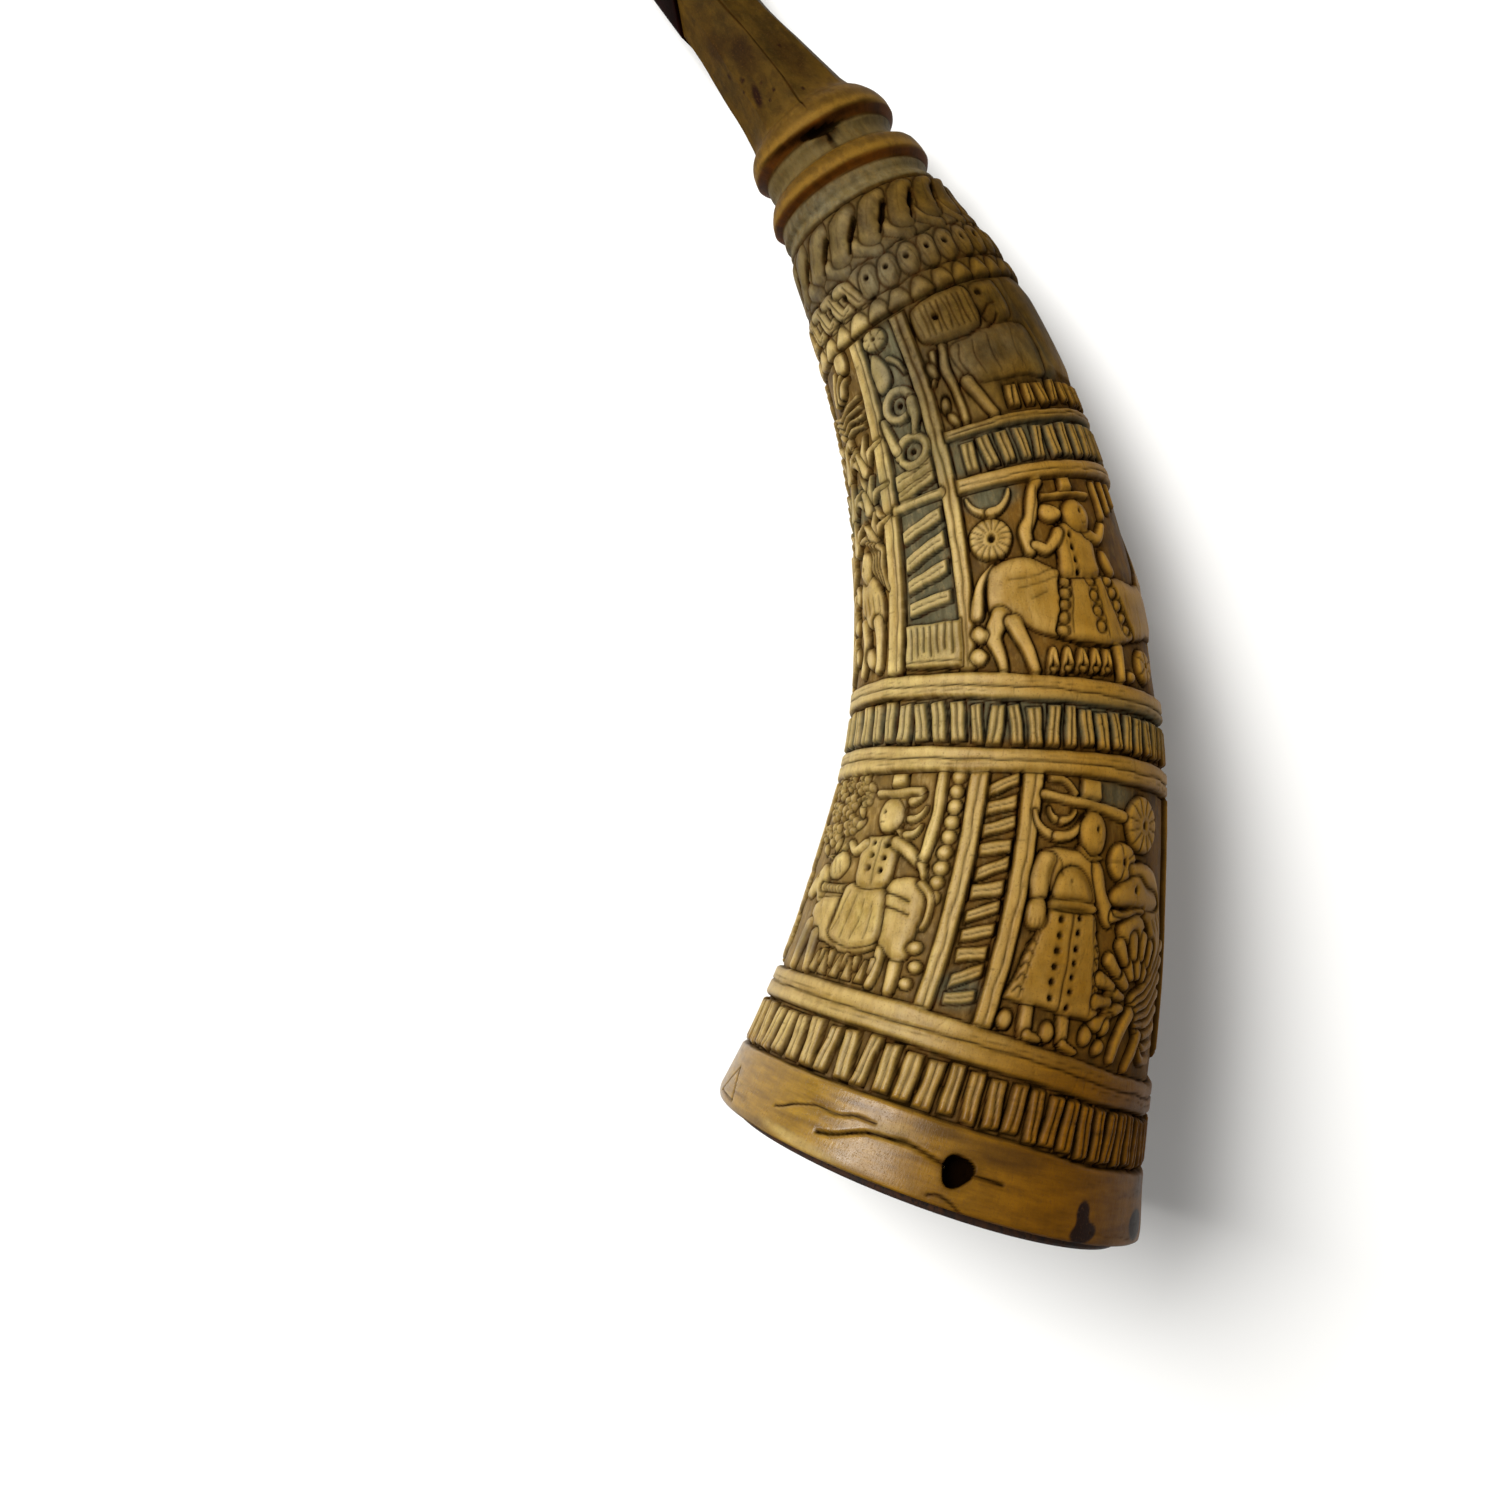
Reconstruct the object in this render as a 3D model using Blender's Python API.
# Carved powder horn, lying on its side.
# A bent cow horn, hollow and open at the wide end, bored through to the pouring end.
# Two turned collars and an eight-sided spout end it; a wooden plug closes the wide end
# and a dark stopper cups the end of the spout.
# The carving is a low relief: the ground is sunk and the figures, bands, columns,
# beads, knotwork and stroke rows keep the height of the polished skin.

import bpy
import bmesh
import numpy as np
from mathutils import Matrix, Vector

# Main sizes, metres
LENGTH = 0.238            # along the bent middle line, wide end to pouring end
BEND_RADIUS = 0.183       # of the middle line
STRAIGHT_FROM = 0.782     # share of the length where the bend ends
HEADING = 66.9            # degrees, direction of the middle line at the wide end
BASE_RADIUS = 0.0365      # outside, at the wide end
SIDE_SLANT = 5.3          # degrees, slant of the wide end towards the inner side
TOP_SLANT = -3.6          # degrees, slant of the wide end towards the top
SLANT_FADE = 0.29         # share of the length over which ring lines lose that slant
WALL = 0.0032             # thickness of the horn at the wide end
NECK_WALL = 0.0062        # thickness of the horn at the narrow end of the powder space
SPACE_TO = 0.64           # share of the length where the powder space ends
FUNNEL_RADIUS = 0.0061    # where the space has narrowed towards the bore
BORE_FROM = 0.685         # share of the length where it has done so
CARVE_DEPTH = 0.0013      # from the polished skin to the sunk ground
BORE_RADIUS = 0.0032      # pouring bore through the spout
CLEARANCE = 0.0003        # between pieces that touch on the real object
PLUG_DEPTH = 0.0100       # how far the plug reaches into the horn
PLUG_PROUD = 0.0013       # how far the plug stands out of the wide end
PLUG_BEVEL = 0.0006
STOPPER_WALL = 0.0013
STOPPER_PROUD = 0.0005    # step between the spout and the stopper on it
STOPPER_CROWN = 0.0075    # solid end of the stopper beyond the spout
STOPPER_ROUND = 0.0025    # height of its rounded tip
STOPPER_TIP = 0.0045      # half width of the flat left at the tip
STOPPER_SLANT = 41.8      # degrees, slant of the stopper's open edge
STOPPER_HIGH_SIDE = 26.6  # degrees round the horn, where that edge is nearest the tip
STOPPER_COVER = 0.0130    # length of spout under the stopper, on the middle line
PEG_HOLE_RADIUS = 0.0021
PEG_HOLE_DEPTH = 0.0075
PEG_HOLE_ALONG = 0.0059
PEG_HOLE_ANGLE = -6.5     # degrees round the horn
FLAT_SPOT = 0.0004        # depth of the small flats the horn rests on

HORN_DENSITY = 1300.0
WOOD_DENSITY = 650.0
SOLID_TRIANGLES = 8000    # faces kept on the carved outside
FINE_ROWS = 285           # rows and sides of the surface that the carving is drawn on
FINE_SIDES = 288
PLAIN_ROWS = 7
SPACE_ROWS = 10
SPACE_SIDES = 30          # of the powder space and of the plug that fits it
PEG_HOLE_SIDES = 12
CUTTER_PAST = 0.004       # how far a cutter runs past what it cuts
SHARP_FROM = 30.0         # degrees between faces that show as an edge

# Layout units
# The carving is laid out in units of which the length holds 238, so that it follows
# the horn when the length changes. Angles are degrees round the middle line: zero is
# the top of the lying horn, positive runs to the outer side of the bend.
UNITS = 238.0
UNIT = LENGTH / UNITS
ROUND_UNITS = BASE_RADIUS / UNIT

# along, radius as a share of the base radius, extra fullness of the inner side
SECTIONS = (
    (0.0, 1.000, 0.094), (10.0, 0.945, 0.126), (25.0, 0.888, 0.145), (45.0, 0.827, 0.145),
    (75.0, 0.740, 0.101), (110.0, 0.647, 0.079), (145.0, 0.545, 0.049), (158.0, 0.499, 0.043),
    (166.0, 0.448, 0.042), (171.0, 0.428, 0.033))
NECK = ((173.0, 0.400, 0.030), (174.6, 0.382, 0.022))
LOWER_COLLAR = (
    (175.4, 0.402, 0.016), (176.6, 0.411, 0.014), (178.4, 0.414, 0.014), (180.4, 0.404, 0.010),
    (182.2, 0.378, 0.008))
GROOVE = ((183.4, 0.356, 0.006), (184.6, 0.354, 0.000))
UPPER_COLLAR = (
    (185.4, 0.366, -0.008), (186.6, 0.372, -0.012), (188.8, 0.374, -0.018), (190.8, 0.364, -0.020),
    (192.6, 0.340, -0.018))
SPOUT = (
    (194.6, 0.290, -0.018), (199.0, 0.260, -0.020), (207.0, 0.234, -0.012), (218.0, 0.200, -0.003),
    (238.0, 0.186, 0.000))
COLLAR_SLANT = -5.0       # degrees, slant of the collars towards the outer side
COLLARS = (168.0, 174.0, 191.0, 197.0)
FACETS = 8
FACET_CORNER = -3.75      # degrees, where one corner of the spout stands

CARVED_FROM = 8.0
CARVED_TO = 174.0

# ring lines of the bands: angle, along
BASE_TOP = ((-90, 11.6), (-60, 12.7), (-30, 12.6), (0, 11.9), (30, 10.6), (60, 10.0), (180, 10.8))
PLAIN_LOW = ((-90, 21.8), (-60, 22.4), (-30, 21.8), (0, 20.5), (30, 19.0), (60, 17.8), (180, 20.0))
PLAIN_MID = ((-90, 25.0), (-60, 25.1), (-30, 24.4), (0, 23.5), (30, 21.4), (60, 20.2), (180, 22.8))
PLAIN_TOP = ((-90, 27.9), (-60, 28.2), (-30, 27.6), (0, 25.7), (30, 23.7), (60, 22.3), (180, 25.4))
SECOND_LOW = ((-90, 65.5), (-60, 65.7), (-30, 65.4), (0, 65.6), (30, 65.0), (60, 64.4), (180, 65.0))
SECOND_MID = ((-90, 68.6), (-60, 68.2), (-30, 67.4), (0, 67.3), (30, 67.0), (60, 66.3), (180, 67.4))
SECOND_TOP = ((-90, 71.2), (-60, 70.8), (-30, 69.5), (0, 69.2), (30, 69.2), (60, 68.4), (180, 69.8))
THIRD_LOW = ((-90, 79.6), (-60, 79.7), (-30, 78.0), (0, 76.8), (30, 76.2), (60, 75.4), (180, 77.4))
THIRD_MID = ((-90, 81.9), (-60, 81.6), (-30, 80.2), (0, 78.9), (30, 77.7), (60, 76.9), (180, 79.3))
THIRD_TOP = ((-90, 84.1), (-60, 83.9), (-30, 82.6), (0, 81.1), (30, 80.2), (60, 79.2), (180, 81.6))
RIGHT_FILLET = (113.6, 114.8, 116.4)
UPPER_FILLET = (123.3, 124.2, 125.3)
BORDER_FROM = 149.6
CHAIN_FROM = 153.7
CHAIN_TO = 160.6
BRAID_FROM = 161.2
BRAID_TO = 172.6


# Small helpers
def smooth(value):
    value = np.clip(value, 0.0, 1.0)
    return value * value * (3.0 - 2.0 * value)


def turned(angle, centre):
    return (angle - centre + 180.0) % 360.0 - 180.0


def ring_line(points, angle):
    """Height of a ring line at the angles, from its height at a few of them."""
    angles = [row[0] for row in points] + [points[0][0] + 360.0]
    heights = [row[1] for row in points] + [points[0][1]]
    return np.interp((angle - angles[0]) % 360.0 + angles[0], angles, heights)


def flowing(places, values, at):
    """Smooth line through the values that never swings past them."""
    places, values, at = (np.asarray(row, dtype=float) for row in (places, values, at))
    slopes = np.diff(values) / np.diff(places)
    product = slopes[:-1] * slopes[1:]
    total = np.where(product > 0, slopes[:-1] + slopes[1:], 1.0)
    inner = np.where(product > 0, 2.0 * product / total, 0.0)
    tangents = np.concatenate([slopes[:1], inner, slopes[-1:]])
    cell = np.clip(np.searchsorted(places, at, side="right") - 1, 0, len(places) - 2)
    width = places[cell + 1] - places[cell]
    share = (at - places[cell]) / width
    rise = share * share * (3.0 - 2.0 * share)
    near = share * (1.0 - share) ** 2 * width * tangents[cell]
    far = share * share * (share - 1.0) * width * tangents[cell + 1]
    inside = values[cell] * (1.0 - rise) + values[cell + 1] * rise + near + far
    return np.where(share < 0.0, values[cell] + (at - places[cell]) * tangents[cell], inside)


def section(along):
    """Radius and inner fullness, both in layout units, at the heights."""
    rows = SECTIONS + NECK + LOWER_COLLAR + GROOVE + UPPER_COLLAR + SPOUT
    places = [row[0] for row in rows]
    radius = flowing(places, [row[1] for row in rows], along)
    fuller = flowing(places, [row[2] for row in rows], along)
    return radius * ROUND_UNITS, fuller * ROUND_UNITS


def frame_at(along):
    """Point and direction of the middle line, metres, at a height in units."""
    distance = np.asarray(along) * UNIT
    bend_end = STRAIGHT_FROM * LENGTH
    turn = np.minimum(distance, bend_end) / BEND_RADIUS
    beyond = np.maximum(distance - bend_end, 0.0)
    start = np.radians(HEADING)
    way = start + turn
    x = BEND_RADIUS * (np.sin(way) - np.sin(start)) + beyond * np.cos(way)
    y = BEND_RADIUS * (np.cos(start) - np.cos(way)) + beyond * np.sin(way)
    zero = np.zeros_like(x)
    point = np.stack([x, y, zero], -1)
    direction = np.stack([np.cos(way), np.sin(way), zero], -1)
    outward = np.stack([np.sin(way), -np.cos(way), zero], -1)
    return point, direction, outward


def surface(along, angle, inset, facets=False):
    """Points at the heights and angles, an inset (metres) inside the skin."""
    point, direction, outward = frame_at(along)
    radius, fuller = section(along)
    turn = np.radians(angle)
    out = radius[:, None] - fuller[:, None] * np.sin(turn)[None, :]
    if facets:
        step = 360.0 / FACETS
        off = (angle - FACET_CORNER) % step - step / 2
        flat = np.cos(np.radians(step / 4)) / np.cos(np.radians(off))
        share = smooth((along - UPPER_COLLAR[-1][0]) / (SPOUT[1][0] - UPPER_COLLAR[-1][0]))
        out = out * (1.0 + share[:, None] * (flat - 1.0)[None, :])
    out = out * UNIT - inset
    fade = np.clip(1.0 - along / (SLANT_FADE * UNITS), 0.0, 1.0)
    lean = np.radians(TOP_SLANT) * np.cos(turn) + np.radians(SIDE_SLANT) * np.sin(turn)
    slant = (smooth((along - COLLARS[0]) / (COLLARS[1] - COLLARS[0]))
             - smooth((along - COLLARS[2]) / (COLLARS[3] - COLLARS[2]))) * np.radians(COLLAR_SLANT)
    shift = out * (lean[None, :] * fade[:, None] + np.sin(turn)[None, :] * slant[:, None])
    up = np.array([0.0, 0.0, 1.0])
    ray = np.cos(turn)[None, :, None] * up + np.sin(turn)[None, :, None] * outward[:, None, :]
    return point[:, None, :] + out[..., None] * ray + shift[..., None] * direction[:, None, :]


# Drawing on the horn
class Relief:
    """Height of the carving, 0 the sunk ground and 1 the skin, over heights and angles."""

    def __init__(self, along, angle):
        self.along = along
        self.angle = angle
        self.level = np.zeros((len(along), len(angle)))

    def spot(self, angle, along, reach):
        """Rows near a point, with units across and up from it."""
        near = np.where(np.abs(self.along - along) <= reach)[0]
        rows = slice(near[0], near[-1] + 1)
        radius, fuller = section(np.array([along]))
        radius = radius[0] - fuller[0] * np.sin(np.radians(angle))
        across = np.radians(turned(self.angle, angle)) * radius
        up = self.along[rows] - along
        return rows, *np.meshgrid(across, up)

    def add(self, rows, gap, level=1.0, edge=0.9):
        shape = level * smooth(0.5 - gap / edge)
        self.level[rows] = np.maximum(self.level[rows], shape)

    def sink(self, rows, gap, level=0.0, edge=0.7):
        shape = level + (1.0 - level) * smooth(0.5 + gap / edge)
        self.level[rows] = np.minimum(self.level[rows], shape)


def bar(x, y, start, end, width, end_width=None):
    end_width = width if end_width is None else end_width
    run = (end[0] - start[0], end[1] - start[1])
    square = run[0] ** 2 + run[1] ** 2
    share = np.clip(((x - start[0]) * run[0] + (y - start[1]) * run[1]) / square, 0.0, 1.0)
    half = (width + (end_width - width) * share) / 2
    return np.hypot(x - start[0] - share * run[0], y - start[1] - share * run[1]) - half


def oval(x, y, centre, across, up, turn=0.0):
    cosine, sine = np.cos(np.radians(turn)), np.sin(np.radians(turn))
    u = (x - centre[0]) * cosine + (y - centre[1]) * sine
    v = (y - centre[1]) * cosine - (x - centre[0]) * sine
    return (np.hypot(u / across, v / up) - 1.0) * min(across, up)


def block(x, y, corners):
    """Distance outside a convex outline, its corners in anticlockwise order."""
    gap = None
    for near, far in zip(corners, corners[1:] + corners[:1]):
        run = (far[0] - near[0], far[1] - near[1])
        side = ((x - near[0]) * run[1] - (y - near[1]) * run[0]) / np.hypot(*run)
        gap = side if gap is None else np.maximum(gap, side)
    return gap


def arc(x, y, centre, radius, width, begin, finish):
    """Part of a ring, from one angle to another, anticlockwise."""
    middle = np.radians((begin + finish) / 2)
    half = np.radians((finish - begin) / 2)
    u = (x - centre[0]) * np.cos(middle) + (y - centre[1]) * np.sin(middle)
    v = (y - centre[1]) * np.cos(middle) - (x - centre[0]) * np.sin(middle)
    turn = np.clip(np.arctan2(v, u), -half, half)
    return np.hypot(u - radius * np.cos(turn), v - radius * np.sin(turn)) - width / 2


# Repeated ornament
def ring_strip(relief, low, high):
    """A plain strip between two ring lines, all the way round."""
    below = ring_line(low, relief.angle)[None, :]
    above = ring_line(high, relief.angle)[None, :]
    along = relief.along[:, None]
    gap = np.maximum(below - along, along - above)
    relief.add(slice(None), gap)


def ring_groove(relief, line, width, level=0.45):
    gap = np.abs(relief.along[:, None] - ring_line(line, relief.angle)[None, :]) - width / 2
    relief.sink(slice(None), gap, level)


def side_strip(relief, low, high, begin, finish):
    """A strip of even height over part of the round."""
    middle = (low + high) / 2
    rows, x, y = relief.spot((begin + finish) / 2, middle, high - low + 2.0)
    half = np.abs(turned(relief.angle, (begin + finish) / 2))[None, :] - (finish - begin) / 2
    gap = np.maximum(np.abs(y) - (high - low) / 2, half)
    relief.add(rows, gap)


def upright_strip(relief, low, high, foot, head, foot_width, head_width):
    """A strip running along the horn, its middle and width in degrees at both ends."""
    inside = (relief.along >= low) & (relief.along <= high)
    rows = np.where(inside)[0]
    rows = slice(rows[0], rows[-1] + 1)
    share = ((relief.along[rows] - low) / (high - low))[:, None]
    middle = foot + (head - foot) * share
    width = foot_width + (head_width - foot_width) * share
    radius = section(relief.along[rows])[0]
    gap = (np.abs(turned(relief.angle[None, :], middle)) - width / 2)
    relief.add(rows, gap * np.radians(radius)[:, None])


def rosette(relief, angle, along, radius, petals=12):
    rows, x, y = relief.spot(angle, along, radius + 1.0)
    relief.add(rows, oval(x, y, (0, 0), radius, radius))
    way = np.degrees(np.arctan2(y, x)) % (360.0 / petals)
    off = np.minimum(way, 360.0 / petals - way)
    reach = np.hypot(x, y)
    slit = np.maximum(np.radians(off) * reach - 0.16, 0.35 * radius - reach)
    relief.sink(rows, slit, 0.5)
    relief.sink(rows, reach - 0.14 * radius, 0.4)


def beads(relief, low, high, foot, head, radius, count):
    for number in range(count):
        share = number / (count - 1)
        along = low + (high - low) * share
        rows, x, y = relief.spot(foot + (head - foot) * share, along, radius + 1.0)
        relief.add(rows, oval(x, y, (0, 0), radius, radius * 0.92))


def stroke_row(relief, low, high, begin, finish, pitch, seed):
    """Upright and leaning strokes in a row, none touching the next."""
    middle = (begin + finish) / 2
    height = ring_line(high, middle) - ring_line(low, middle)
    radius, fuller = section(np.array([ring_line(low, middle)]))
    step = np.degrees(pitch / (radius[0] - fuller[0] * np.sin(np.radians(middle))))
    count = max(2, int((finish - begin) / step))
    for number in range(count):
        angle = begin + (finish - begin) * (number + 0.5) / count
        along = (ring_line(low, angle) + ring_line(high, angle)) / 2
        lean = (0.0, 0.32, 0.0, -0.32, 0.16)[(number + seed) % 5] * pitch
        rows, x, y = relief.spot(angle, along, height)
        reach = height / 2 - 0.75
        gap = bar(x, y, (-lean, -reach), (lean, reach), 0.36 * pitch)
        relief.add(rows, gap, 0.85)


def rung_column(relief, low, high, foot, head, width, pitch):
    """Short leaning rungs, one above another, in a column along the horn."""
    count = max(2, int((high - low) / pitch))
    for number in range(count):
        share = (number + 0.5) / count
        rows, x, y = relief.spot(foot + (head - foot) * share, low + (high - low) * share, pitch + 2)
        lean = (0.25, 0.45, -0.3, 0.1)[number % 4] * pitch
        relief.add(rows, bar(x, y, (-width / 2, -lean), (width / 2, lean), 0.42 * pitch), 0.85)


def belly_strokes(relief, angle, along, across, height, count):
    """Leaning strokes that fill the space under a horse."""
    rows, x, y = relief.spot(angle, along, height)
    for number in range(count):
        left = (number / count - 0.5) * across
        lean = across / count * (0.7 if number % 2 else 0.1)
        gap = bar(x, y, (left, -height / 2), (left + lean, height / 2), 0.42 * across / count)
        relief.add(rows, gap, 0.85)


def chain_ring(relief, count):
    middle = (CHAIN_FROM + CHAIN_TO) / 2
    size = (CHAIN_TO - CHAIN_FROM) / 2 - 0.5
    rows = np.where(np.abs(relief.along - middle) <= size + 1.5)[0]
    rows = slice(rows[0], rows[-1] + 1)
    radius = section(np.array([middle]))[0]
    step = 360.0 / count
    across = np.radians((relief.angle % step) - step / 2) * radius[0]
    x, y = np.meshgrid(across, relief.along[rows] - middle)
    half = np.radians(step / 2) * radius[0]
    ring = np.abs(np.hypot(x / half, y / size) - 0.78) * min(half, size) - 0.45
    relief.add(rows, ring)
    relief.add(rows, oval(x, y, (0, 0), 0.7, 0.8), 0.7)


def border_ring(relief, count):
    """Row of small humps over the panels."""
    step = 360.0 / count
    low, high = BORDER_FROM, CHAIN_FROM
    rows = np.where((relief.along >= low) & (relief.along <= high))[0]
    rows = slice(rows[0], rows[-1] + 1)
    share = np.abs((relief.angle % step) / step - 0.5) * 2.0
    top = low + 0.8 + (high - low - 1.2) * (1.0 - share ** 2)
    gap = relief.along[rows][:, None] - top[None, :]
    relief.add(rows, gap)


def braid_ring(relief, count):
    """Two rows of slanted lobes that lean against each other."""
    step = 360.0 / count
    split = BRAID_FROM + 0.36 * (BRAID_TO - BRAID_FROM)
    for number in range(count):
        angle = number * step + 2.0
        rows, x, y = relief.spot(angle, (split + BRAID_TO) / 2, BRAID_TO - split)
        relief.add(rows, bar(x, y, (-2.0, -2.3), (2.0, 1.9), 3.4, 3.0))
        rows, x, y = relief.spot(angle + 0.45 * step, (BRAID_FROM + split) / 2 - 0.2, 5.0)
        relief.add(rows, bar(x, y, (-1.7, 1.2), (1.7, -0.9), 2.5, 2.3))


# Figures
def draw(relief, rows, x, y, bars=(), ovals=(), blocks=()):
    for start, end, width, end_width in bars:
        relief.add(rows, bar(x, y, start, end, width, end_width))
    for centre, across, up in ovals:
        relief.add(rows, oval(x, y, centre, across, up))
    for corners in blocks:
        relief.add(rows, block(x, y, list(corners)))


def rider_left(relief, angle, along):
    """Rider on a horse that faces left, holding an upright staff."""
    rows, x, y = relief.spot(angle, along, 21.0)
    draw(relief, rows, x, y, bars=(
        ((-10.8, -7.4), (4.5, -6.2), 9.0, 9.4), ((6.6, -6.0), (7.2, -17.0), 4.6, 2.6),
        ((-12.4, -9.0), (-13.8, -17.0), 3.2, 2.0), ((-9.0, 2.6), (-14.0, -0.8), 4.4, 2.4),
        ((-10.0, 0.0), (-7.4, -6.0), 5.4, 6.0), ((0.2, 7.0), (0.0, -1.0), 5.2, 6.2),
        ((-2.4, 7.2), (-5.2, 1.6), 1.9, 1.5), ((2.4, 7.2), (8.8, 4.2), 2.2, 2.2),
        ((-3.2, 16.1), (5.6, 16.1), 1.5, 1.5), ((3.0, 13.4), (7.0, 11.4), 1.1, 1.0),
        ((3.0, 10.4), (7.2, 8.9), 1.1, 1.0), ((8.6, 18.6), (9.6, 2.0), 1.8, 1.8)),
        ovals=(((5.4, -3.4), 4.8, 5.4), ((0.0, 11.2), 3.1, 3.5)),
        blocks=(((-7.2, -12.3), (3.6, -11.2), (3.4, -1.0), (-3.4, -1.0)),
                ((0.6, 16.0), (3.6, 16.0), (3.4, 19.0), (0.8, 19.0))))
    belly_strokes(relief, angle - 4.0, along - 15.2, 10.5, 4.6, 6)
    for across, up, size in ((-13.2, 13.2, 2.2), (-9.6, 14.8, 1.9), (-9.0, 10.6, 1.7),
                             (-13.0, 8.6, 1.9), (-6.6, 8.6, 1.1), (-6.4, 11.6, 1.1),
                             (-9.6, 18.2, 1.3), (-14.8, 17.2, 1.8)):
        relief.add(rows, oval(x, y, (across, up), size, size * 0.85))


def standing_figure(relief, angle, along):
    """Standing figure with a wide hat, puffed sleeves and a long skirt, facing right."""
    rows, x, y = relief.spot(angle, along, 22.0)
    draw(relief, rows, x, y, bars=(
        ((-5.2, 15.9), (9.2, 14.7), 1.6, 1.5), ((-5.0, 6.2), (-6.3, -1.2), 3.8, 3.0),
        ((4.6, 6.0), (7.6, 0.4), 4.0, 3.0), ((7.4, 0.2), (13.4, 0.6), 2.2, 1.2),
        ((-3.0, -14.6), (-2.8, -19.4), 2.2, 2.0), ((2.2, -15.2), (3.0, -20.0), 2.4, 2.0),
        ((3.0, -20.0), (6.0, -20.6), 1.8, 1.4), ((-3.0, -19.4), (-5.4, -19.2), 1.8, 1.4)),
        ovals=(((3.3, 10.6), 2.9, 3.7), ((-5.2, -2.7), 2.1, 1.8)),
        blocks=(((1.0, 15.0), (4.6, 14.8), (4.6, 19.0), (1.0, 19.0)),
                ((-4.3, -0.4), (3.9, -0.4), (5.2, 6.0), (2.2, 8.0), (-2.5, 8.0), (-5.0, 6.0)),
                ((-8.3, -15.0), (7.8, -15.8), (4.7, -0.4), (-4.3, -0.4))))
    relief.add(rows, arc(x, y, (-3.0, 12.8), 4.0, 1.8, 195.0, 342.0))
    relief.add(rows, arc(x, y, (-2.4, 14.0), 2.1, 1.3, 190.0, 345.0))
    relief.sink(rows, bar(x, y, (0.0, -2.0), (0.0, -15.0), 0.4), 0.5)
    relief.sink(rows, bar(x, y, (-3.8, -0.7), (4.0, -0.9), 0.5), 0.4)


def beast(relief, angle, along):
    """Winged beast with an open mouth, facing left."""
    rows, x, y = relief.spot(angle, along, 23.0)
    draw(relief, rows, x, y, bars=(
        ((-6.2, 2.9), (1.5, 4.4), 2.8, 4.6), ((-6.4, 0.2), (0.5, 1.0), 1.2, 1.5),
        ((-5.6, -2.4), (-0.6, 0.2), 2.4, 2.2), ((-2.6, -15.5), (-4.2, -20.0), 2.4, 1.8),
        ((2.4, -17.0), (0.8, -21.4), 2.4, 1.8)))
    relief.add(rows, arc(x, y, (5.2, 3.2), 4.2, 3.2, -40.0, 150.0))
    for number in range(8):
        way = np.radians(82.0 + 15.0 * number)
        inner = (1.0 + 4.6 * np.cos(way), -12.0 + 4.6 * np.sin(way))
        outer = (1.0 + 10.2 * np.cos(way), -12.0 + 9.4 * np.sin(way))
        relief.add(rows, bar(x, y, inner, outer, 1.2, 1.9))
    for number in range(5):
        left = (0.6 + 1.9 * number, -10.6 + 2.0 * number)
        right = (7.8 + 1.2 * number, -17.2 + 2.6 * number)
        relief.add(rows, bar(x, y, left, right, 1.3, 1.3))


def rider_right(relief, angle, along):
    """Rider on a broad horse that faces right, one hand at a leafy staff."""
    rows, x, y = relief.spot(angle, along, 18.5)
    draw(relief, rows, x, y, bars=(
        ((-8.0, -4.6), (2.0, -5.0), 9.4, 9.0), ((8.0, -5.4), (22.0, -2.0), 8.0, 9.6),
        ((-13.6, -5.8), (-15.2, -10.4), 3.6, 2.4), ((-15.2, -10.4), (-14.0, -14.6), 2.4, 1.8),
        ((-11.4, -8.2), (-9.4, -14.6), 2.8, 1.7), ((-15.4, 1.4), (-17.3, -3.0), 1.2, 1.3),
        ((-17.3, -3.0), (-17.1, -5.3), 1.5, 2.0), ((-1.5, 6.4), (-5.0, 4.8), 2.4, 1.8),
        ((-5.0, 4.8), (-7.6, 5.2), 1.8, 1.6), ((3.8, 5.6), (8.2, 7.6), 2.2, 1.8),
        ((-3.6, 13.2), (5.3, 13.2), 1.3, 1.3), ((5.0, -9.0), (5.2, -15.6), 2.4, 1.8),
        ((5.4, -16.0), (8.4, -16.2), 1.4, 1.4), ((22.0, -2.4), (38.0, -3.0), 9.6, 8.0),
        ((24.0, 0.0), (33.0, 7.0), 9.0, 10.0), ((31.0, 9.6), (39.0, 6.0), 7.0, 5.0),
        ((33.0, -6.0), (34.0, -14.0), 4.6, 3.0)),
        ovals=(((-9.3, -2.3), 6.4, 6.1), ((2.4, 9.9), 2.6, 2.9), ((-3.4, 11.0), 2.3, 1.2)),
        blocks=(((-3.3, -1.0), (4.1, -1.0), (4.3, 6.4), (1.6, 8.2), (-1.6, 8.0), (-3.2, 6.0)),
                ((-6.0, -9.4), (10.8, -8.6), (4.4, -0.6), (-3.6, -0.8)),
                ((-0.4, 13.2), (2.9, 13.2), (2.7, 16.2), (-0.2, 16.2))))
    belly_strokes(relief, angle - 12.0, along - 13.4, 12.0, 4.6, 6)
    for up in (-8.6, -12.4):
        relief.add(rows, oval(x, y, (-17.1, up), 1.3, 1.5))


def leafy_staff(relief, angle, along):
    rows, x, y = relief.spot(angle, along, 8.0)
    draw(relief, rows, x, y, bars=(
        ((3.2, 5.8), (0.5, 2.0), 1.9, 2.6), ((0.5, 2.0), (-0.8, -2.0), 2.6, 2.4),
        ((-0.8, -2.0), (-0.6, -5.2), 2.4, 2.6)))


def crescent(relief, angle, along):
    rows, x, y = relief.spot(angle, along, 5.5)
    relief.add(rows, arc(x, y, (0, 0), 3.0, 1.7, 192.0, 348.0))


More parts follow.
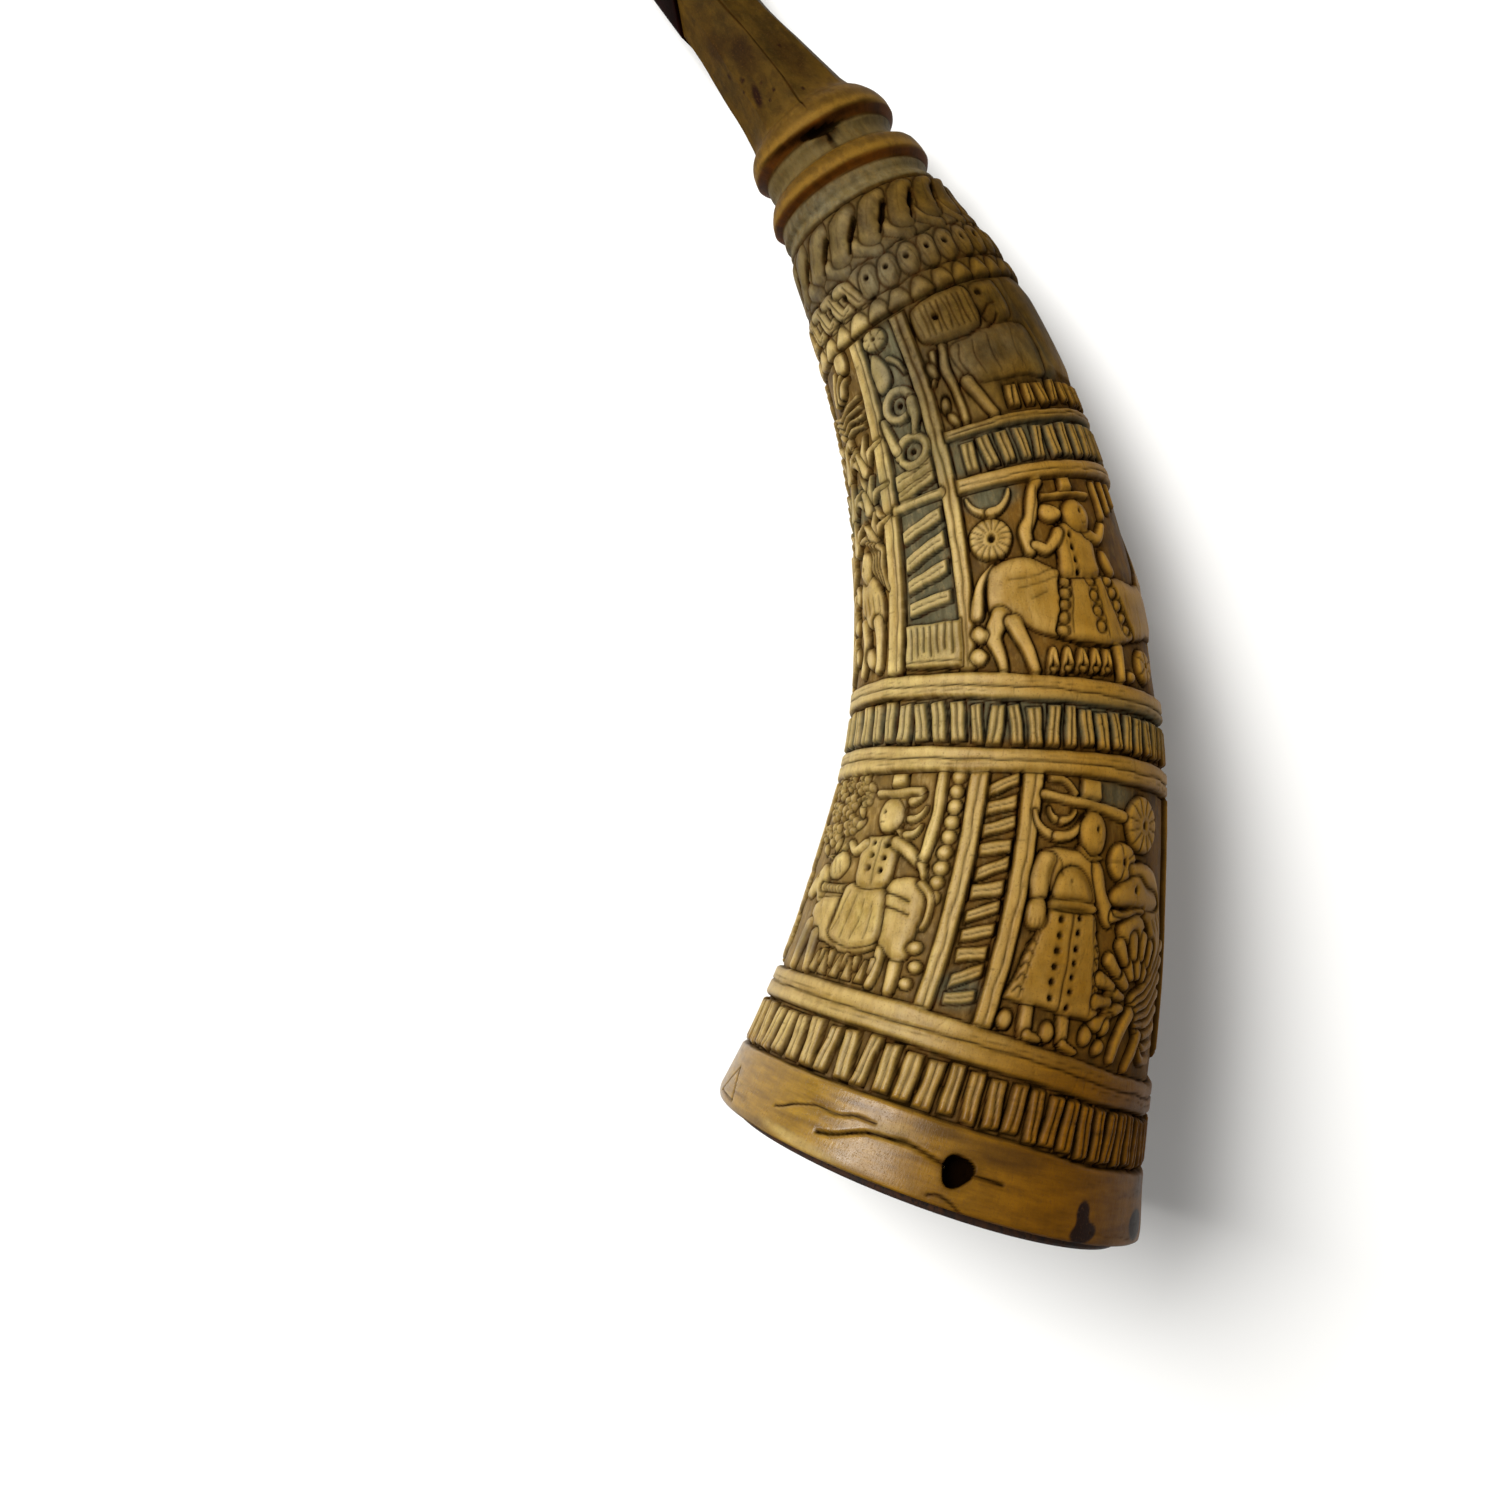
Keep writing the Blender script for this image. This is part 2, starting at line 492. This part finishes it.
def worn_rider(relief, angle, along):
    """Rider beside a drum, rubbed nearly smooth."""
    rows, x, y = relief.spot(angle, along, 13.5)
    draw(relief, rows, x, y, bars=(
        ((17.0, 1.0), (35.0, 2.0), 13.0, 15.0), ((20.0, 7.0), (26.0, 8.4), 6.0, 5.0),
        ((-0.6, -1.4), (11.0, -1.6), 8.0, 8.4), ((-5.4, 2.4), (-5.0, -10.8), 2.6, 1.9),
        ((-3.0, -5.0), (0.4, -11.0), 2.4, 2.0), ((9.8, -5.4), (10.5, -11.0), 2.0, 1.7)),
        ovals=(((10.0, 7.0), 2.4, 2.6), ((14.5, 2.0), 5.0, 7.5), ((-7.2, -1.0), 0.9, 1.6),
               ((-7.0, -8.0), 0.9, 1.5)),
        blocks=(((-7.4, 4.2), (4.0, 4.2), (4.0, 12.0), (-7.4, 12.0)),
                ((4.6, 3.0), (9.0, 3.0), (9.0, 10.6), (4.6, 10.6))))
    belly_strokes(relief, angle + 18.0, along - 9.4, 5.0, 3.6, 4)
    rosette(relief, angle + 41.0, along - 9.2, 1.9, 6)


def leaf_column(relief, angle, low, high):
    """Leaves to both sides of a wavy stem."""
    count = max(2, int((high - low) / 7.6))
    pitch = (high - low) / count
    for number in range(count):
        rows, x, y = relief.spot(angle, low + pitch * (number + 0.5), pitch)
        way = 1.0 if number % 2 else -1.0
        relief.add(rows, bar(x, y, (-1.6 * way, -pitch / 2), (1.6 * way, pitch / 2), 1.5))
        for step in (-0.30, 0.02, 0.34):
            for side in (-1.0, 1.0):
                start = (1.2 * side, step * pitch)
                end = (5.6 * side, (step + 0.16) * pitch)
                relief.add(rows, bar(x, y, start, end, 1.0, 1.9))


def spiral(relief, angle, along, size, way):
    rows, x, y = relief.spot(angle, along, size + 1.6)
    relief.add(rows, arc(x, y, (0, 0), 0.62 * size, 0.56 * size, -200.0, 120.0))
    relief.add(rows, bar(x, y, (-0.5 * size * way, 0.5 * size), (-1.0 * size * way, 1.7 * size), 1.5))


def kneeling_beast(relief, angle, along):
    """Small beast with a wavy mane over a crouching body."""
    rows, x, y = relief.spot(angle, along, 14.5)
    draw(relief, rows, x, y, bars=(
        ((-1.0, 2.0), (1.5, -4.5), 7.0, 6.0), ((-3.4, -4.0), (-4.4, -12.4), 2.6, 1.9),
        ((2.6, -6.0), (3.4, -12.4), 2.4, 1.8), ((-3.0, 1.4), (-5.4, -1.6), 2.0, 1.6),
        ((1.0, 12.6), (4.6, 8.0), 1.2, 1.2), ((-0.4, 11.6), (4.0, 5.4), 1.2, 1.2)),
        ovals=(((-2.0, 8.0), 2.8, 2.8),))


# The whole layout
def carve(relief):
    along = relief.along[:, None]
    relief.add(slice(None), along - ring_line(BASE_TOP, relief.angle)[None, :])
    relief.add(slice(None), BRAID_TO - along)
    for low, high in ((PLAIN_LOW, PLAIN_TOP), (SECOND_LOW, SECOND_TOP), (THIRD_LOW, THIRD_TOP)):
        ring_strip(relief, low, high)
    border_ring(relief, 30)
    chain_ring(relief, 29)
    braid_ring(relief, 17)

    # stroke rows where the real horn has an inscription
    stroke_row(relief, BASE_TOP, PLAIN_LOW, -178.0, 178.0, 3.3, 0)
    stroke_row(relief, SECOND_TOP, THIRD_LOW, -178.0, 178.0, 3.0, 2)
    low = tuple((angle, RIGHT_FILLET[2]) for angle in (-90, 180))
    high = tuple((angle, UPPER_FILLET[0]) for angle in (-90, 180))
    stroke_row(relief, low, high, -20.0, 96.0, 2.8, 1)

    # lower panel: two columns, then the figures from left to right
    lower, upper = 26.6, 66.0
    upright_strip(relief, lower, upper, -27.4, -23.2, 4.6, 6.2)
    upright_strip(relief, lower, upper, -11.4, -6.4, 5.0, 6.6)
    rung_column(relief, 28.5, 65.0, -19.6, -15.8, 3.8, 2.7)
    beads(relief, 46.0, 64.0, -31.4, -29.2, 1.05, 9)
    rider_left(relief, -50.0, 46.0)
    standing_figure(relief, 8.0, 46.0)
    rosette(relief, 38.5, 59.2, 4.3)
    rosette(relief, 28.2, 53.2, 2.9, 8)
    beast(relief, 38.0, 45.0)
    upright_strip(relief, lower, upper, 70.0, 70.0, 5.0, 6.0)
    rung_column(relief, 26.0, 64.5, 79.0, 79.0, 4.0, 3.4)
    upright_strip(relief, lower, upper, 88.0, 88.0, 5.0, 6.0)
    rider_left(relief, 126.0, 44.6)
    rosette(relief, 151.0, 56.0, 4.2)
    rosette(relief, 151.0, 36.0, 4.2)
    leaf_column(relief, 172.0, 28.0, 64.0)
    upright_strip(relief, lower, upper, 190.0, 190.0, 5.0, 6.0)
    standing_figure(relief, 212.0, 45.0)
    rosette(relief, 236.0, 52.0, 4.2)
    upright_strip(relief, lower, upper, 252.0, 252.0, 5.0, 6.0)

    # upper panels, left of the columns
    upright_strip(relief, 83.0, 150.0, -55.3, -52.6, 7.0, 8.0)
    upright_strip(relief, 82.0, 150.0, -27.6, -26.8, 5.4, 8.0)
    rung_column(relief, 84.0, 120.0, -40.5, -40.0, 7.0, 3.6)
    spiral(relief, -38.5, 124.4, 2.9, 1.0)
    spiral(relief, -39.5, 133.6, 3.1, -1.0)
    rosette(relief, -41.0, 146.8, 2.3, 6)
    leaf_column(relief, -70.0, 114.0, 143.0)
    kneeling_beast(relief, -71.0, 98.0)
    rows, x, y = relief.spot(-66.5, 147.0, 2.5)
    relief.add(rows, oval(x, y, (0, 0), 1.3, 1.3))

    # upper panels, right of the columns
    side_strip(relief, RIGHT_FILLET[0], RIGHT_FILLET[2], -24.0, 100.0)
    side_strip(relief, UPPER_FILLET[0], UPPER_FILLET[2], -24.0, 100.0)
    crescent(relief, -13.0, 112.5)
    rosette(relief, -15.0, 104.6, 3.6)
    leafy_staff(relief, 0.0, 107.3)
    rider_right(relief, 18.0, 97.2)
    rosette(relief, 49.0, 83.6, 2.5, 6)
    worn_rider(relief, 0.0, 137.2)

    # upper panels, hidden side: a second pair of columns, leaves and rosettes
    upright_strip(relief, 80.0, 150.0, 98.0, 98.0, 7.0, 8.0)
    upright_strip(relief, 82.0, 150.0, 124.0, 124.0, 6.0, 8.0)
    rung_column(relief, 84.0, 148.0, 111.0, 111.0, 6.0, 4.4)
    leaf_column(relief, 150.0, 84.0, 148.0)
    upright_strip(relief, 82.0, 150.0, 176.0, 176.0, 6.0, 8.0)
    for number in range(6):
        rosette(relief, 200.0, 89.0 + 11.0 * number, 3.6 - 0.16 * number, 8)
    upright_strip(relief, 82.0, 150.0, 224.0, 224.0, 6.0, 8.0)
    leaf_column(relief, 248.0, 86.0, 148.0)

    ring_groove(relief, PLAIN_MID, 0.5)
    ring_groove(relief, SECOND_MID, 0.5)
    ring_groove(relief, THIRD_MID, 0.5)
    return relief.level


# Mesh making
def collection(name):
    made = bpy.data.collections.new(name)
    bpy.context.scene.collection.children.link(made)
    return made


def material(name, colour, roughness):
    made = bpy.data.materials.new(name)
    made.use_nodes = True
    shader = made.node_tree.nodes["Principled BSDF"]
    shader.inputs["Base Color"].default_value = (*colour, 1.0)
    shader.inputs["Roughness"].default_value = roughness
    return made


def tube(name, points, group):
    """Closed solid from rings of points, both ends capped by a fan."""
    rings, sides, _ = points.shape
    work = bmesh.new()
    corners = [[work.verts.new(point) for point in ring] for ring in points]
    for lower, upper in zip(corners, corners[1:]):
        for side in range(sides):
            after = (side + 1) % sides
            work.faces.new((lower[side], lower[after], upper[after], upper[side]))
    for ring, way in ((corners[0], -1), (corners[-1], 1)):
        middle = work.verts.new(sum((corner.co for corner in ring), Vector()) / sides)
        for side in range(sides):
            after = (side + 1) % sides
            face = (ring[side], ring[after], middle)
            work.faces.new(face if way > 0 else face[::-1])
    bmesh.ops.recalc_face_normals(work, faces=work.faces)
    mesh = bpy.data.meshes.new(name)
    work.to_mesh(mesh)
    work.free()
    made = bpy.data.objects.new(name, mesh)
    group.objects.link(made)
    return made


def prism(name, apothem, start, end, group, lean=0.0):
    """Eight-sided prism along its own Z; the start face may rise to the stopper's high side."""
    work = bmesh.new()
    radius = apothem / np.cos(np.pi / FACETS)
    bmesh.ops.create_cone(work, segments=FACETS, radius1=radius, radius2=radius,
                          depth=end - start, cap_ends=True)
    # the cone tool puts corners on Y; the spout has one near the top, a little off it
    bmesh.ops.rotate(work, cent=(0.0, 0.0, 0.0), verts=work.verts,
                     matrix=Matrix.Rotation(np.radians(FACET_CORNER), 3, "Z"))
    bmesh.ops.translate(work, verts=work.verts, vec=(0.0, 0.0, (start + end) / 2))
    side = np.radians(STOPPER_HIGH_SIDE)
    for corner in work.verts:
        if corner.co.z < (start + end) / 2:
            corner.co.z += lean * (corner.co.x * np.sin(side) - corner.co.y * np.cos(side))
    mesh = bpy.data.meshes.new(name)
    work.to_mesh(mesh)
    work.free()
    made = bpy.data.objects.new(name, mesh)
    group.objects.link(made)
    return made


def combine(target, cutter, operation):
    step = target.modifiers.new(cutter.name, "BOOLEAN")
    step.operation = operation
    step.solver = "EXACT"
    step.object = cutter
    bake(target)


def bake(target):
    """Turn the modifiers of an object into its mesh."""
    graph = bpy.context.evaluated_depsgraph_get()
    mesh = bpy.data.meshes.new_from_object(target.evaluated_get(graph))
    target.modifiers.clear()
    old = target.data
    target.data = mesh
    bpy.data.meshes.remove(old)


def solid_moments(made):
    """Volume and its first moment, from the faces of a closed mesh."""
    made.data.calc_loop_triangles()
    places = np.empty(len(made.data.vertices) * 3)
    made.data.vertices.foreach_get("co", places)
    places = places.reshape(-1, 3)
    order = np.empty(len(made.data.loop_triangles) * 3, dtype=int)
    made.data.loop_triangles.foreach_get("vertices", order)
    corners = places[order.reshape(-1, 3)]
    volume = np.einsum("ij,ij->i", corners[:, 0], np.cross(corners[:, 1], corners[:, 2])) / 6
    return volume.sum(), (corners.sum(1) / 4 * volume[:, None]).sum(0)


def lying_turn(points, centre):
    """Turn that lays the hull face under the centre of mass flat, nearest the side."""
    work = bmesh.new()
    for point in points:
        work.verts.new(point)
    hull = bmesh.ops.convex_hull(work, input=work.verts)
    best = None
    down = Vector((0.0, 0.0, -1.0))
    for face in hull["geom"]:
        if not isinstance(face, bmesh.types.BMFace):
            continue
        normal = face.normal.copy()
        first = face.verts[0].co
        if normal.dot(Vector(centre) - first) > 0:
            normal.negate()
        foot = Vector(centre) - normal * (Vector(centre) - first).dot(normal)
        inside = True
        corners = [corner.co for corner in face.verts]
        sense = None
        for near, far in zip(corners, corners[1:] + corners[:1]):
            side = normal.dot((far - near).cross(foot - near))
            if sense is None:
                sense = side > 0
            elif (side > 0) != sense:
                inside = False
        if inside and (best is None or normal.dot(down) > best.dot(down)):
            best = normal
    work.free()
    return best.rotation_difference(down).to_matrix()


def main():
    for made in list(bpy.data.objects):
        bpy.data.objects.remove(made)
    horn = collection("carved_powder_horn")
    cutters = collection("cutters")
    up = np.array([0.0, 0.0, 1.0])

    # the carved outer form, fine enough to draw on
    fine = np.linspace(CARVED_FROM, CARVED_TO, FINE_ROWS)
    below = np.linspace(0.0, CARVED_FROM, PLAIN_ROWS)[:-1]
    turned_rows = [row[0] for row in LOWER_COLLAR + GROOVE + UPPER_COLLAR + SPOUT]
    along = np.concatenate([below, fine, turned_rows])
    angle = np.arange(FINE_SIDES) * 360.0 / FINE_SIDES - 180.0
    carved = (along >= CARVED_FROM) & (along <= CARVED_TO)
    level = np.ones((len(along), len(angle)))
    level[carved] = carve(Relief(along[carved], angle))
    points = surface(along, angle, CARVE_DEPTH * (1.0 - level), facets=True)

    # the powder space and the bore, one smooth tube open at both ends
    past = CUTTER_PAST / UNIT
    space_end = SPACE_TO * UNITS
    space_rows = np.concatenate([[-past], np.linspace(0.0, space_end, SPACE_ROWS)])
    space_angle = np.arange(SPACE_SIDES) * 360.0 / SPACE_SIDES
    inset = np.interp(space_rows, (0.0, space_end), (WALL, NECK_WALL))
    space = surface(space_rows, space_angle, inset[:, None])
    bore_rows = np.array([BORE_FROM * UNITS, NECK[0][0], UNITS + past])
    middle, direction, outward = frame_at(bore_rows)
    shift = section(bore_rows)[1] * UNIT
    turn = np.radians(space_angle)
    ray = np.cos(turn)[None, :, None] * up + np.sin(turn)[None, :, None] * outward[:, None, :]
    bore_radius = np.array([FUNNEL_RADIUS, BORE_RADIUS, BORE_RADIUS])
    bore = (middle - outward * shift[:, None])[:, None, :] + bore_radius[:, None, None] * ray
    space = tube("powder_space", np.concatenate([space, bore]), cutters)

    # the plug in the wide end: its wall follows the space, both faces are flat
    proud, deep, bevel = PLUG_PROUD / UNIT, PLUG_DEPTH / UNIT, PLUG_BEVEL / UNIT
    plug_rows = np.array([-proud, -proud + bevel, deep - bevel, deep])
    fit = np.interp(plug_rows, (0.0, space_end), (WALL, NECK_WALL)) + CLEARANCE
    plug_inset = fit + np.array([PLUG_BEVEL, 0.0, 0.0, PLUG_BEVEL])
    plug = tube("base_plug", surface(plug_rows, space_angle, plug_inset[:, None]), horn)

    # the lying pose: the horn lies on its side, on the hull face under its centre of mass
    body = tube("horn_body", points, horn)
    outer_volume, outer_moment = solid_moments(body)
    space_volume, space_moment = solid_moments(space)
    plug_volume, plug_moment = solid_moments(plug)
    mass = HORN_DENSITY * (outer_volume - space_volume) + WOOD_DENSITY * plug_volume
    moment = HORN_DENSITY * (outer_moment - space_moment) + WOOD_DENSITY * plug_moment
    every = 3
    lay = np.array(lying_turn(points[::every, ::every].reshape(-1, 3), moment / mass))

    # small flats where it touches the floor
    laid = points @ lay.T
    laid[..., 2] = np.maximum(laid[..., 2], laid[..., 2].min() + FLAT_SPOT)
    bpy.data.objects.remove(body)
    body = tube("horn_body", laid @ lay, horn)
    body.data.calc_loop_triangles()
    thin = body.modifiers.new("fewer_faces", "DECIMATE")
    thin.ratio = SOLID_TRIANGLES / len(body.data.loop_triangles)
    bake(body)
    combine(body, space, "DIFFERENCE")

    # the end of the spout: Z runs out along it, Y down, X to the outer side
    origin, direction, outward = (row[0] for row in frame_at(np.array([UNITS])))
    axes = Matrix((outward, -up, direction)).transposed()
    spout_place = Matrix.Translation(Vector(origin)) @ axes.to_4x4()

    # the spout is turned down inside the stopper
    seat_radius = section(np.array([UNITS - STOPPER_COVER / UNIT]))[0][0] * UNIT
    outer = seat_radius * np.cos(np.pi / FACETS / 2) + STOPPER_PROUD
    spigot = outer - STOPPER_WALL - CLEARANCE
    lean = np.tan(np.radians(STOPPER_SLANT))
    long = STOPPER_COVER + lean * outer + CUTTER_PAST
    seat = prism("stopper_seat", 2.0 * outer, -STOPPER_COVER, CUTTER_PAST, cutters, lean)
    core = prism("spigot", spigot, -2.0 * long, 2.0 * CUTTER_PAST, cutters)
    socket = prism("stopper_socket", spigot + CLEARANCE, -long, CLEARANCE, cutters)

    # the stopper: a cup with a slanted open edge and a rounded end
    edge = -STOPPER_COVER + CLEARANCE / np.cos(np.radians(STOPPER_SLANT))
    shoulder = STOPPER_CROWN - STOPPER_ROUND
    stopper = prism("stopper", outer, edge, shoulder, horn, lean)
    crown = prism("stopper_crown", outer, shoulder - CLEARANCE, STOPPER_CROWN, cutters)
    for corner in crown.data.vertices:
        if corner.co.z > shoulder:
            corner.co.x *= STOPPER_TIP / outer
            corner.co.y *= STOPPER_TIP / outer
    for made in (seat, core, socket, stopper, crown):
        made.matrix_world = spout_place
    combine(seat, core, "DIFFERENCE")
    combine(body, seat, "DIFFERENCE")
    combine(stopper, crown, "UNION")
    combine(stopper, socket, "DIFFERENCE")

    # the empty peg hole in the base band, with its blind end in the plug
    hole_along, hole_angle = np.array([PEG_HOLE_ALONG / UNIT]), np.array([PEG_HOLE_ANGLE])
    mouth = Vector(surface(hole_along, hole_angle, np.array([[0.0]]))[0, 0])
    foot = Vector(surface(hole_along, hole_angle, np.array([[PEG_HOLE_DEPTH]]))[0, 0])
    inward = (foot - mouth).to_track_quat("Z", "Y")
    bpy.ops.mesh.primitive_cylinder_add(vertices=PEG_HOLE_SIDES, radius=PEG_HOLE_RADIUS,
                                        depth=2.0 * PEG_HOLE_DEPTH, location=mouth,
                                        rotation=inward.to_euler())
    peg_hole = bpy.context.object
    peg_hole.name = "peg_hole"
    for owner in list(peg_hole.users_collection):
        owner.objects.unlink(peg_hole)
    cutters.objects.link(peg_hole)
    combine(body, peg_hole, "DIFFERENCE")
    combine(plug, peg_hole, "DIFFERENCE")

    # an empty lays everything down: the floor at zero, the middle of the box at the origin
    pieces = (body, plug, stopper)
    turn_down = Matrix(lay.tolist()).to_4x4()
    bpy.context.view_layer.update()
    places = np.array([tuple(turn_down @ made.matrix_world @ corner.co)
                       for made in pieces for corner in made.data.vertices])
    low, high = places.min(0), places.max(0)
    rest = bpy.data.objects.new("lying_rest", None)
    rest.matrix_world = Matrix.Translation((-(low[0] + high[0]) / 2, -(low[1] + high[1]) / 2,
                                            -low[2])) @ turn_down
    horn.objects.link(rest)
    for made in pieces + tuple(cutters.objects):
        made.parent = rest

    looks = (material("aged_cow_horn", (0.42, 0.28, 0.09), 0.42),
             material("dark_stained_hardwood", (0.05, 0.02, 0.012), 0.55),
             material("dark_horn", (0.04, 0.008, 0.01), 0.35))
    for made, look in zip(pieces, looks):
        made.data.materials.clear()
        made.data.materials.append(look)
        made.data.shade_smooth()
        made.data.set_sharp_from_angle(angle=np.radians(SHARP_FROM))
    for made in cutters.objects:
        made.hide_render = True
        made.display_type = "WIRE"


main()
